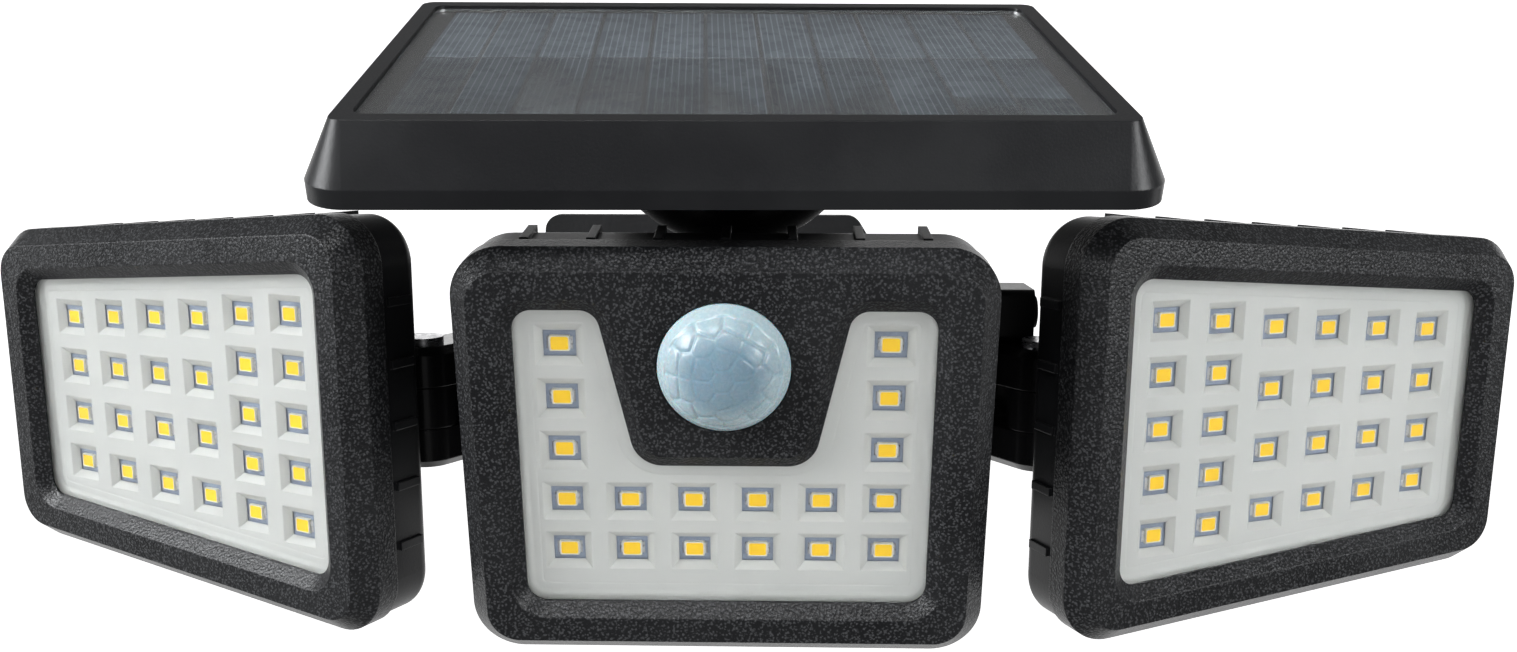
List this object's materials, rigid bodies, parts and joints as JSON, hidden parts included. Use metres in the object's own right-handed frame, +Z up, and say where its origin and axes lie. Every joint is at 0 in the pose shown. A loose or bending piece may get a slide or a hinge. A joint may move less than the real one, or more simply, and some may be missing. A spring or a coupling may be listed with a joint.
{
  "type": "motion sensor security light",
  "caption": "Wall light with a wide middle lamp head around a sensor dome, a swivelling lamp head on an arm at each side, and a tilting solar panel on top.",
  "frame": {"origin": "middle of the four wall screw holes, in the plane of the wall", "axes": "+Z up, +Y into the wall, the light faces -Y, +X to the right as seen from the front"},
  "size_m": [0.309, 0.1289, 0.1195],
  "materials": {
    "black_plastic": "satin moulded black with a fine grained texture",
    "gloss_black": "smooth semi-gloss moulded black",
    "clear_lens": "clear smooth cover over the chips",
    "reflector_plastic": "light warm grey, satin",
    "led_board": "pale circuit board",
    "led_chip": "yellow phosphor, smooth",
    "seal_rubber": "matte black rubber",
    "screw_steel": "bright zinc plated",
    "bracket_paint": "black powder coat",
    "inner_plastic": "plain dark grey",
    "battery_wrap": "blue shrink wrap",
    "circuit_board": "green lacquered board",
    "solar_cell": "dark blue-grey cells with fine silver lines",
    "panel_glass": "clear smooth sheet",
    "milky_dome": "milky pale blue, translucent, faceted",
    "sensor_can": "plain metal can with a dark window"
  },
  "bodies": {
    "root": {"wall_bracket": "bracket_paint", "bracket_lock_screw": "screw_steel", "rear_body": "black_plastic", "rear_body_seal": "seal_rubber", "rear_cover": "black_plastic", "cover_screws": "screw_steel", "battery_holder": "inner_plastic", "battery_cells": "battery_wrap", "control_board": "circuit_board", "switch_box": "black_plastic", "switch_box_screws": "screw_steel", "button_seal": "seal_rubber", "mode_switch": "circuit_board", "arm_left": "gloss_black", "arm_right": "gloss_black", "arm_screws": "screw_steel", "swivel_pins": "screw_steel", "centre_hinge_bolt": "screw_steel"},
    "mode_button": {"mode_button": "seal_rubber"},
    "panel_turret": {"panel_cup": "gloss_black", "turret_washer": "screw_steel", "turret_screw": "screw_steel", "panel_tilt_pin": "screw_steel"},
    "panel": {"panel_housing": "gloss_black", "panel_cover": "black_plastic", "solar_cells": "solar_cell", "panel_glass": "panel_glass", "panel_screws": "screw_steel"},
    "centre_head": {"centre_frame": "black_plastic", "centre_lens": "clear_lens", "centre_reflector": "reflector_plastic", "centre_led_board": "led_board", "centre_leds": "led_chip", "centre_gasket": "seal_rubber", "centre_housing": "black_plastic", "centre_screws": "screw_steel", "pir_dome": "milky_dome", "pir_sensor": "sensor_can"},
    "left_knuckle": {"left_swivel": "gloss_black", "left_tilt_screw": "screw_steel"},
    "left_head": {"left_frame": "black_plastic", "left_lens": "clear_lens", "left_reflector": "reflector_plastic", "left_led_board": "led_board", "left_leds": "led_chip", "left_gasket": "seal_rubber", "left_housing": "black_plastic", "left_screws": "screw_steel"},
    "right_knuckle": {"right_swivel": "gloss_black", "right_tilt_screw": "screw_steel"},
    "right_head": {"right_frame": "black_plastic", "right_lens": "clear_lens", "right_reflector": "reflector_plastic", "right_led_board": "led_board", "right_leds": "led_chip", "right_gasket": "seal_rubber", "right_housing": "black_plastic", "right_screws": "screw_steel"}
  },
  "joints": [
    {"name": "panel_swivel", "type": "hinge", "parent": "root", "child": "panel_turret", "pos_m": [0, -0.073, 0.03], "axis": [0, 0, 1], "range_deg": [-40, 40]},
    {"name": "panel_tilt", "type": "hinge", "parent": "panel_turret", "child": "panel", "pos_m": [0, -0.073, 0.051], "axis": [0.9987, 0.0506, 0], "range_deg": [-30, 0]},
    {"name": "centre_tilt", "type": "hinge", "parent": "root", "child": "centre_head", "pos_m": [0, -0.0905, 0.00114], "axis": [1, 0, 0], "range_deg": [-12, 18]},
    {"name": "left_swivel", "type": "hinge", "parent": "root", "child": "left_knuckle", "pos_m": [-0.0609, -0.0804, 0], "axis": [0, 0, 1], "range_deg": [-33, 26.97]},
    {"name": "left_tilt", "type": "hinge", "parent": "left_knuckle", "child": "left_head", "pos_m": [-0.0609, -0.0804, 0], "axis": [0.8912, -0.4535, 0], "range_deg": [-15, 15]},
    {"name": "right_swivel", "type": "hinge", "parent": "root", "child": "right_knuckle", "pos_m": [0.0609, -0.0804, 0], "axis": [0, 0, 1], "range_deg": [-21.39, 38.6]},
    {"name": "right_tilt", "type": "hinge", "parent": "right_knuckle", "child": "right_head", "pos_m": [0.0609, -0.0804, 0], "axis": [0.9311, 0.3647, 0], "range_deg": [-15, 15]},
    {"name": "mode_button", "type": "slide", "parent": "root", "child": "mode_button", "axis": [-1, 0, 0], "range_m": [0, 0.001], "stiffness_N_per_m": 800, "springref_m": -0.001}
  ]
}
